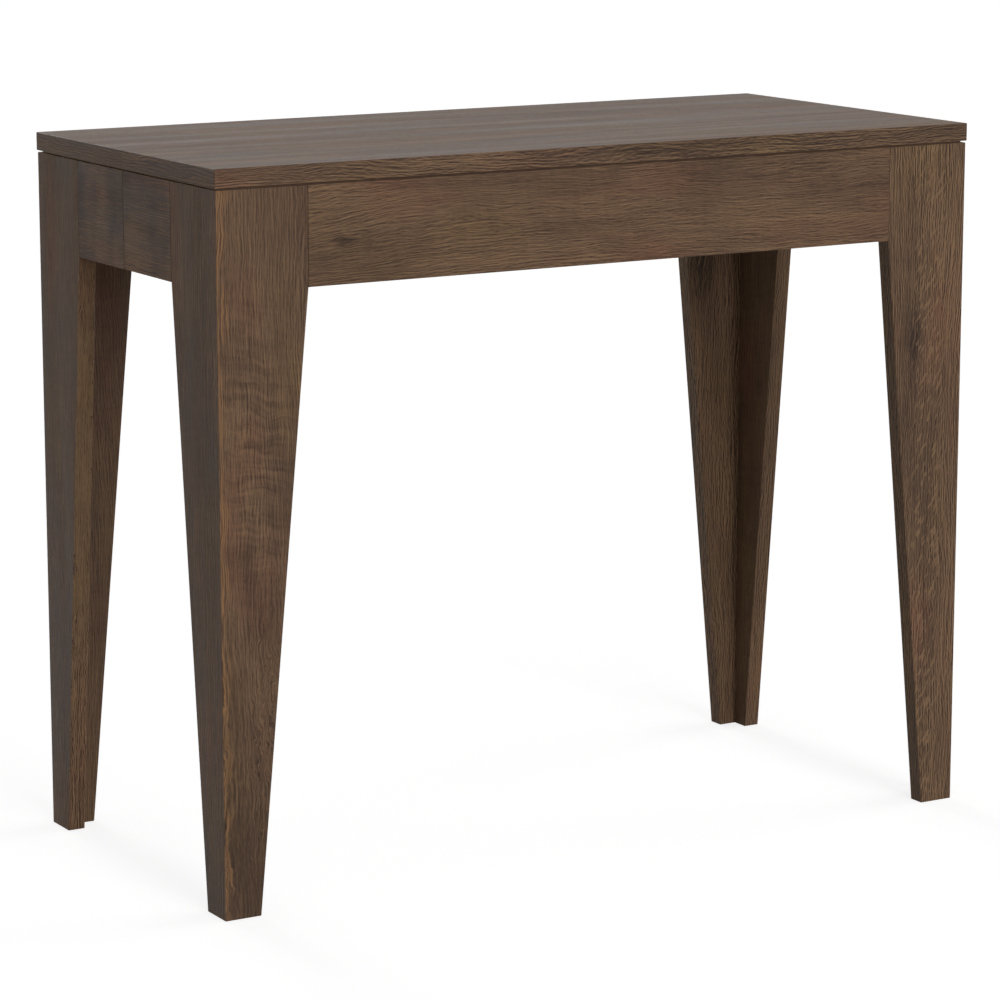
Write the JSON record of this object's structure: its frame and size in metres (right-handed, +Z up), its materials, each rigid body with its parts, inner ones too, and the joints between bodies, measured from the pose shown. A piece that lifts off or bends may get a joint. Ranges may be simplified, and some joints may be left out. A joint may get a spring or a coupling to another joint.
{
  "type": "extending console table",
  "caption": "Slim console table on tapered angle legs that splits along its middle; the front half slides out on telescopic runners to make a long dining table.",
  "frame": {"origin": "on the floor, under the middle of the closed table", "axes": "+X along the long side, +Y across the depth towards the wall, +Z up; the front half slides out along -Y"},
  "size_m": [0.9, 0.42, 0.75],
  "materials": {
    "dark_walnut_board": "satin",
    "batten_softwood": "planed",
    "beech_peg": "turned",
    "runner_aluminium": "anodised",
    "glide_plastic": "matte",
    "zinc_sheet_steel": "zinc plated",
    "zinc_fastener_steel": "bright zinc"
  },
  "bodies": {
    "rear_half": {"alignment_pins": "beech_peg", "rear_apron": "dark_walnut_board", "rear_centre_cleat": "batten_softwood", "rear_corner_posts": "batten_softwood", "rear_dowels": "beech_peg", "rear_end_cleats": "batten_softwood", "rear_glide_shoes": "glide_plastic", "rear_joint_plates": "zinc_sheet_steel", "rear_left_end_apron": "dark_walnut_board", "rear_left_leg_end_board": "dark_walnut_board", "rear_left_leg_face_board": "dark_walnut_board", "rear_long_screws": "zinc_fastener_steel", "rear_right_end_apron": "dark_walnut_board", "rear_right_leg_end_board": "dark_walnut_board", "rear_right_leg_face_board": "dark_walnut_board", "rear_runner_bolts": "zinc_fastener_steel", "rear_runner_brackets": "zinc_sheet_steel", "rear_runner_pair": "runner_aluminium", "rear_short_screws": "zinc_fastener_steel", "rear_top": "dark_walnut_board"},
    "stage_1": {"stage_1_glide_shoes": "glide_plastic", "stage_1_runner_pair": "runner_aluminium", "stage_1_tie": "zinc_sheet_steel", "stage_1_tie_bolts": "zinc_fastener_steel", "stage_1_tie_washers": "zinc_fastener_steel"},
    "stage_2": {"stage_2_glide_shoes": "glide_plastic", "stage_2_runner_pair": "runner_aluminium", "stage_2_tie": "zinc_sheet_steel", "stage_2_tie_bolts": "zinc_fastener_steel", "stage_2_tie_washers": "zinc_fastener_steel"},
    "stage_3": {"stage_3_glide_shoes": "glide_plastic", "stage_3_runner_pair": "runner_aluminium", "stage_3_tie": "zinc_sheet_steel", "stage_3_tie_bolts": "zinc_fastener_steel", "stage_3_tie_washers": "zinc_fastener_steel"},
    "stage_4": {"stage_4_glide_shoes": "glide_plastic", "stage_4_runner_pair": "runner_aluminium", "stage_4_tie": "zinc_sheet_steel", "stage_4_tie_bolts": "zinc_fastener_steel", "stage_4_tie_washers": "zinc_fastener_steel"},
    "front_half": {"front_apron": "dark_walnut_board", "front_centre_cleat": "batten_softwood", "front_corner_posts": "batten_softwood", "front_dowels": "beech_peg", "front_end_cleats": "batten_softwood", "front_glide_shoes": "glide_plastic", "front_joint_plates": "zinc_sheet_steel", "front_left_end_apron": "dark_walnut_board", "front_left_leg_end_board": "dark_walnut_board", "front_left_leg_face_board": "dark_walnut_board", "front_long_screws": "zinc_fastener_steel", "front_right_end_apron": "dark_walnut_board", "front_right_leg_end_board": "dark_walnut_board", "front_right_leg_face_board": "dark_walnut_board", "front_runner_bolts": "zinc_fastener_steel", "front_runner_brackets": "zinc_sheet_steel", "front_runner_pair": "runner_aluminium", "front_short_screws": "zinc_fastener_steel", "front_top": "dark_walnut_board"}
  },
  "joints": [
    {"name": "stage_1_slide", "type": "slide", "parent": "rear_half", "child": "stage_1", "axis": [0, -1, 0], "range_m": [0, 0.312]},
    {"name": "stage_2_slide", "type": "slide", "parent": "stage_1", "child": "stage_2", "axis": [0, -1, 0], "range_m": [0, 0.312]},
    {"name": "stage_3_slide", "type": "slide", "parent": "stage_2", "child": "stage_3", "axis": [0, -1, 0], "range_m": [0, 0.312]},
    {"name": "stage_4_slide", "type": "slide", "parent": "stage_3", "child": "stage_4", "axis": [0, -1, 0], "range_m": [0, 0.312]},
    {"name": "front_half_slide", "type": "slide", "parent": "stage_4", "child": "front_half", "axis": [0, -1, 0], "range_m": [0, 0.312]}
  ]
}
